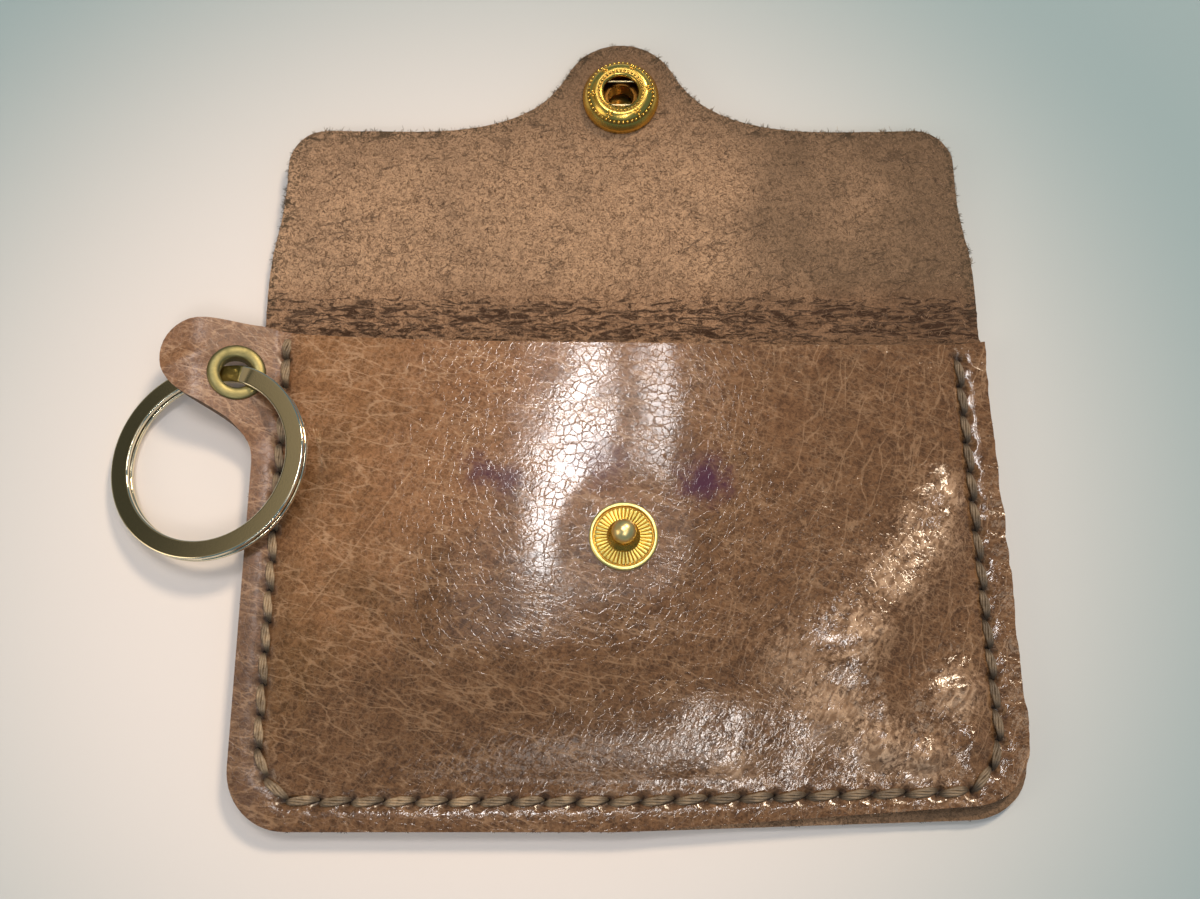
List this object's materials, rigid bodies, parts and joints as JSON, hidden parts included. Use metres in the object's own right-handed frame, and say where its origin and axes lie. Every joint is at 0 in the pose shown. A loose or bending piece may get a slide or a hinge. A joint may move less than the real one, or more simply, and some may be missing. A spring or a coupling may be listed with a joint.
{
  "type": "card wallet with key ring",
  "caption": "Hand-stitched leather card pocket with a tongued flap, a spring snap to close it and a split key ring in a side tab.",
  "frame": {"origin": "centre of the back panel's outer face, at half the pocket's height at its sides", "axes": "+X to the right seen from the front, +Y from the bottom seam towards the open flap, +Z out of the pocket's front"},
  "size_m": [0.1313, 0.1212, 0.0126],
  "materials": {
    "grain_leather": "glossy waxed pull-up grain, crackled",
    "suede": "napped flesh side, matte",
    "waxed_thread": "waxed twisted strands",
    "brass": "polished pressed sheet",
    "worn_brass": "tarnished rolled sheet",
    "plated_steel": "pale gold plating, polished",
    "spring_wire": "bright drawn wire"
  },
  "bodies": {
    "pocket": {"back_panel": "grain_leather", "front_panel": "grain_leather", "saddle_thread": "waxed_thread", "tab_eyelet": "worn_brass", "eyelet_washer": "worn_brass", "stud": "brass", "stud_post": "worn_brass"},
    "flap": {"flap": "suede", "snap_cap_shell": "brass", "snap_cap_post": "worn_brass", "socket_shell": "brass", "socket_plate": "worn_brass", "socket_spring": "spring_wire"},
    "ring": {"split_ring": "plated_steel"}
  },
  "joints": [
    {"name": "flap_fold", "type": "hinge", "parent": "pocket", "child": "flap", "pos_m": [0, 0.04035, 0.0066], "axis": [1, 0, 0], "range_deg": [0, 176.9]},
    {"name": "ring_swing", "type": "hinge", "parent": "pocket", "child": "ring", "pos_m": [-0.0574, 0.02985, 0.00404], "axis": [-0.2924, 0, -0.9563], "range_deg": [0, 105]}
  ]
}
